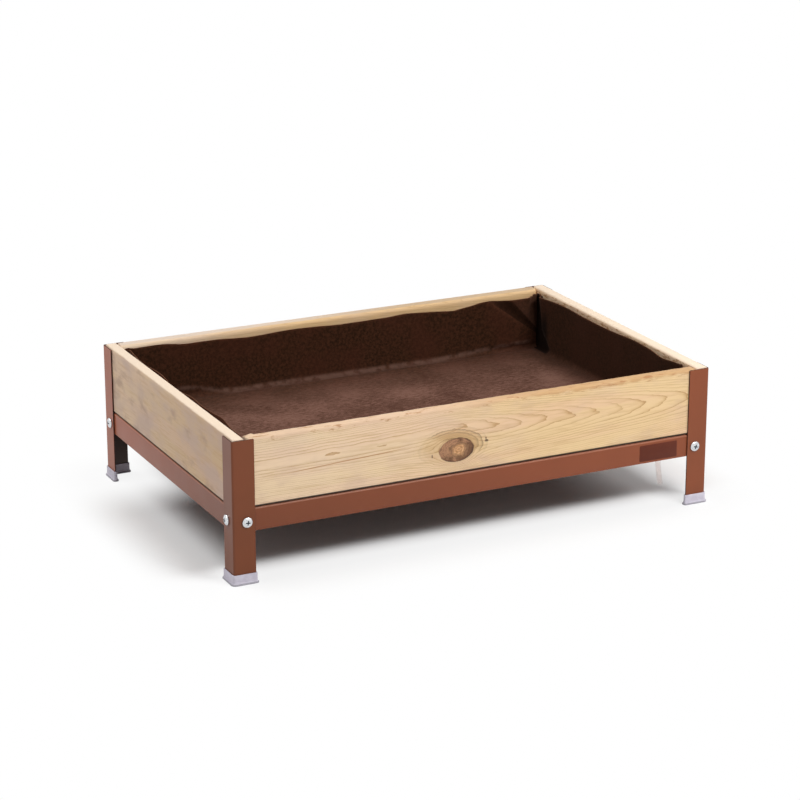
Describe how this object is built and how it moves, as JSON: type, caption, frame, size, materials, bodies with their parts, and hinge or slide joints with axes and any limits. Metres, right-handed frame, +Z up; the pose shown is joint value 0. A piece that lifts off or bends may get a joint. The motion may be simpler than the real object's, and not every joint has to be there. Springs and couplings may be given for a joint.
{
  "type": "elevated planter",
  "caption": "Low rectangular planter: pine boards in a bolted frame of painted steel angle on plastic feet, with a felt liner over a drained tray and a short drain hose.",
  "frame": {"origin": "on the floor, under the middle of the planter", "axes": "+X along the length, to the right as seen from the front; +Y to the rear; +Z up"},
  "size_m": [0.8088, 0.5388, 0.221],
  "materials": {
    "paint": "brown semi-gloss paint on steel",
    "pine": "planed pine, bare, with knots",
    "cap_plastic": "moulded, pale grey",
    "zinc": "bright zinc plate",
    "felt": "needled brown felt",
    "hose": "clear soft plastic tube",
    "drain_plastic": "moulded, black",
    "rubber": "black flat seal"
  },
  "bodies": {
    "root": {"leg_front_left": "paint", "leg_front_right": "paint", "leg_rear_right": "paint", "leg_rear_left": "paint", "foot_cap_front_left": "cap_plastic", "foot_cap_front_right": "cap_plastic", "foot_cap_rear_right": "cap_plastic", "foot_cap_rear_left": "cap_plastic", "rail_front": "paint", "rail_right": "paint", "rail_rear": "paint", "rail_left": "paint", "board_front": "pine", "board_right": "pine", "board_rear": "pine", "board_left": "pine", "bolt_front_left": "zinc", "bolt_front_right": "zinc", "bolt_right_front": "zinc", "bolt_right_rear": "zinc", "bolt_rear_right": "zinc", "bolt_rear_left": "zinc", "bolt_left_rear": "zinc", "bolt_left_front": "zinc", "washer_front_left": "zinc", "washer_front_right": "zinc", "washer_right_front": "zinc", "washer_right_rear": "zinc", "washer_rear_right": "zinc", "washer_rear_left": "zinc", "washer_left_rear": "zinc", "washer_left_front": "zinc", "nut_front_left": "zinc", "nut_front_right": "zinc", "nut_right_front": "zinc", "nut_right_rear": "zinc", "nut_rear_right": "zinc", "nut_rear_left": "zinc", "nut_left_rear": "zinc", "nut_left_front": "zinc", "wood_screw_right_front_low": "zinc", "wood_screw_right_front_high": "zinc", "wood_screw_right_rear_low": "zinc", "wood_screw_right_rear_high": "zinc", "wood_screw_left_rear_low": "zinc", "wood_screw_left_rear_high": "zinc", "wood_screw_left_front_low": "zinc", "wood_screw_left_front_high": "zinc", "drain_tray": "paint", "support_bar_left": "paint", "support_bar_right": "paint", "drain_spigot": "drain_plastic", "drain_seal": "rubber", "drain_nut": "drain_plastic", "drain_hose": "hose", "liner": "felt"}
  },
  "joints": []
}
